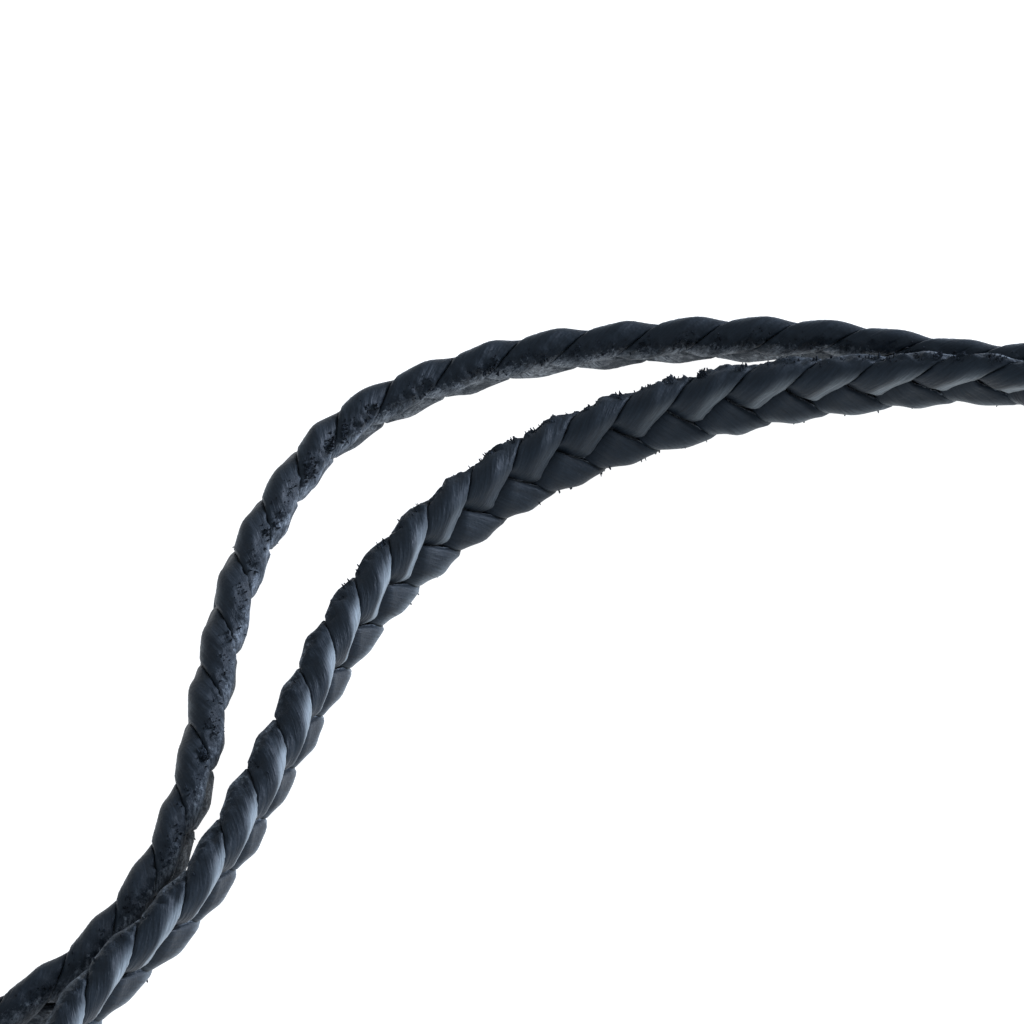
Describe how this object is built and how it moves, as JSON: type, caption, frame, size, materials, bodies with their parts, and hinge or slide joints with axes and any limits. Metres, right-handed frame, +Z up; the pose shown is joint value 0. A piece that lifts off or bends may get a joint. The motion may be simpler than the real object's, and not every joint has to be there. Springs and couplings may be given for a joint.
{
  "type": "braided leather necklace",
  "caption": "Narrow necklace of flat laces in a three-strand braid, closed by a plain metal sleeve and laid down as one loop.",
  "frame": {"origin": "middle of the loop's bounding box, on the surface that it lies on", "axes": "+X along the loop's longer way, towards the clasp; +Y across it; +Z up from the surface"},
  "size_m": [0.1698, 0.1235, 0.0068],
  "materials": {
    "leather": "matt with a soft sheen",
    "steel": "finely brushed"
  },
  "bodies": {
    "root": {"braid": "leather", "clasp": "steel"}
  },
  "joints": []
}
